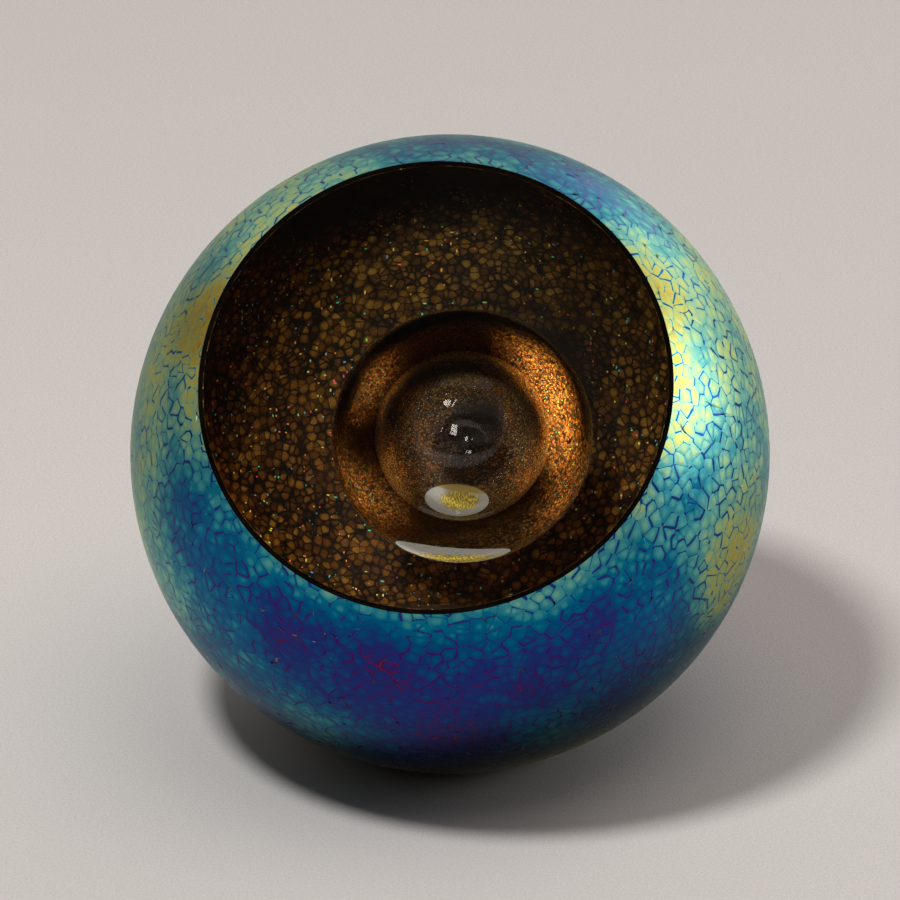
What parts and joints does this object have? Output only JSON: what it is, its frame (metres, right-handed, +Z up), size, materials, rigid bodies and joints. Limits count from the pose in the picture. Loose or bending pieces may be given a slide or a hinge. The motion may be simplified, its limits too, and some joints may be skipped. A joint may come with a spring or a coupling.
{
  "type": "art glass orb",
  "caption": "Solid round art glass orb with an iridescent crackled skin, a large slanted polished window, a trapped air bubble and a flat polished foot.",
  "frame": {"origin": "centre of the flat polished foot, on the surface that the orb stands on", "axes": "+Z up, square to the foot; the slanted window faces -Y and upwards; +X to the right as seen from the window side"},
  "size_m": [0.1, 0.1, 0.0958],
  "materials": {
    "lustre_glass": "smooth iridescent lustre over fine crackle cells, blue and green to purple and gold",
    "cell_glass": "dark amber-brown cells with black gaps, seen through clear glass",
    "clear_glass": "clear polished glass, faintly warm",
    "gather_glass": "clear glass round a smooth trapped air bubble"
  },
  "bodies": {
    "root": {"lustre_skin": "lustre_glass", "cell_layer": "cell_glass", "clear_casing": "clear_glass", "bubble_gather": "gather_glass"}
  },
  "joints": []
}
